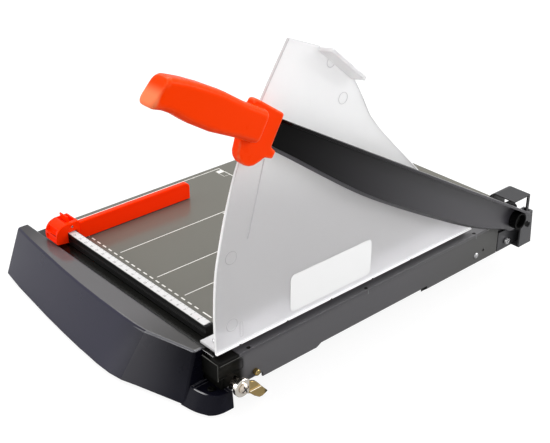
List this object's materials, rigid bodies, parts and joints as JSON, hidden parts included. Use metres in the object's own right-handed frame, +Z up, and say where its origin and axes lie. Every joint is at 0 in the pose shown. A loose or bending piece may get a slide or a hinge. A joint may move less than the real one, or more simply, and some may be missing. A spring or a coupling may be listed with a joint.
{
  "type": "guillotine paper cutter",
  "caption": "Guillotine paper cutter for A4 sheets with a raised blade arm, orange handle, frosted guard, sliding red backstop and brass blade lock.",
  "frame": {"origin": "bottom middle of the whole machine's box at rest, at the level of the desk", "axes": "+X to the operator's right, square to the cut; +Y away from the operator, along the cut; +Z up"},
  "size_m": [0.3408, 0.4844, 0.3164],
  "materials": {
    "table_paint": "satin",
    "rail_paint": "satin",
    "bracket_paint": "satin",
    "knife_steel": "satin",
    "cap_plastic": "satin",
    "fence_black": "satin",
    "strip_white": "matte",
    "guard_frosted": "matte",
    "handle_orange": "gloss",
    "stop_red": "gloss",
    "arm_black": "satin",
    "bright_steel": "satin",
    "brass": "satin",
    "rubber": "matte"
  },
  "bodies": {
    "base": {"table_top": "table_paint", "left_rail": "rail_paint", "rear_rail": "rail_paint", "front_rail": "rail_paint", "side_rail": "rail_paint", "rail_nose_plate": "rail_paint", "rail_rivet": "bright_steel", "rear_block_1": "cap_plastic", "rear_block_2": "cap_plastic", "foot_1": "rubber", "foot_2": "rubber", "foot_3": "rubber", "foot_4": "rubber", "front_end_cap": "cap_plastic", "cap_screw": "knife_steel", "bed_knife": "knife_steel", "knife_end_block": "knife_steel", "knife_screw_1": "knife_steel", "knife_screw_2": "knife_steel", "knife_screw_3": "knife_steel", "fence_bar": "fence_black", "fence_scale": "strip_white", "guard_plate": "guard_frosted", "guard_foot": "guard_frosted", "guard_lip": "guard_frosted", "guard_label": "strip_white", "guard_screw_1": "bright_steel", "guard_screw_2": "bright_steel", "guard_spacer_1": "guard_frosted", "guard_spacer_2": "guard_frosted", "pivot_bolt": "arm_black", "pivot_bush": "bright_steel", "pivot_nut": "bright_steel", "pivot_plate": "bracket_paint", "pivot_bracket": "bracket_paint", "bracket_bolt": "bracket_paint", "pivot_hoop": "bracket_paint", "lock_plate": "rail_paint", "lock_bush": "bright_steel", "lock_screw": "bright_steel", "lock_stud": "brass"},
    "arm": {"blade_arm": "arm_black", "blade": "bright_steel", "blade_screw_1": "bright_steel", "blade_screw_2": "bright_steel", "blade_screw_3": "bright_steel", "handle": "handle_orange", "handle_screw_1": "bright_steel", "handle_screw_2": "bright_steel", "pivot_dish": "arm_black"},
    "backstop": {"backstop_block": "stop_red", "backstop_bar": "stop_red", "clamp_pin": "bright_steel"},
    "clamp": {"clamp_lever": "stop_red"},
    "lock": {"lock_lever": "brass"}
  },
  "joints": [
    {"name": "blade_hinge", "type": "hinge", "parent": "base", "child": "arm", "pos_m": [0.15339, 0.21018, 0.052], "axis": [-1, 0, 0], "range_deg": [-29, 9]},
    {"name": "backstop_slide", "type": "slide", "parent": "base", "child": "backstop", "axis": [1, 0, 0], "range_m": [0, 0.205]},
    {"name": "clamp_hinge", "type": "hinge", "parent": "backstop", "child": "clamp", "pos_m": [-0.10361, -0.16032, 0.0686], "axis": [1, 0, 0], "range_deg": [-40, 22]},
    {"name": "lock_hinge", "type": "hinge", "parent": "base", "child": "lock", "pos_m": [0.15339, -0.16292, 0.023], "axis": [1, 0, 0], "range_deg": [0, 110]}
  ]
}
